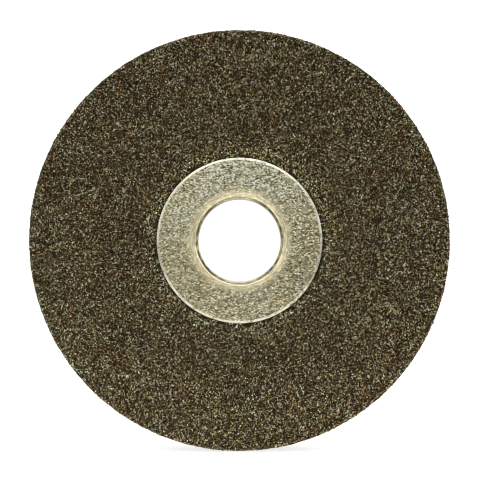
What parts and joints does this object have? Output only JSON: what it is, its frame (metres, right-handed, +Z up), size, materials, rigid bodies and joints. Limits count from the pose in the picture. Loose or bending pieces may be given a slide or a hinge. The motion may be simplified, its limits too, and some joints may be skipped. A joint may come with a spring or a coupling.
{
  "type": "grinding wheel",
  "caption": "Depressed-centre abrasive grinding wheel with a flanged steel arbor bush, for flat grinding on a small spindle.",
  "frame": {"origin": "on the spin axis, half-way along the straight wall of the arbor bore", "axes": "+Y along the spin axis towards the machine, so the grinding face looks towards -Y; +Z up and +X to the right as the grinding face is seen"},
  "size_m": [0.05, 0.0075, 0.05],
  "materials": {
    "front_abrasive": "matte",
    "back_abrasive": "matte",
    "glass_yarn": "satin",
    "blotter_paper": "matte",
    "pressed_steel": "satin",
    "ring_steel": "satin"
  },
  "bodies": {
    "root": {"front_abrasive_layer": "front_abrasive", "inner_scrim_warp": "glass_yarn", "inner_scrim_weft": "glass_yarn", "back_abrasive_layer": "back_abrasive", "back_scrim_warp": "glass_yarn", "back_scrim_weft": "glass_yarn", "paper_blotter": "blotter_paper", "flanged_bush": "pressed_steel", "back_ring": "ring_steel"}
  },
  "joints": []
}
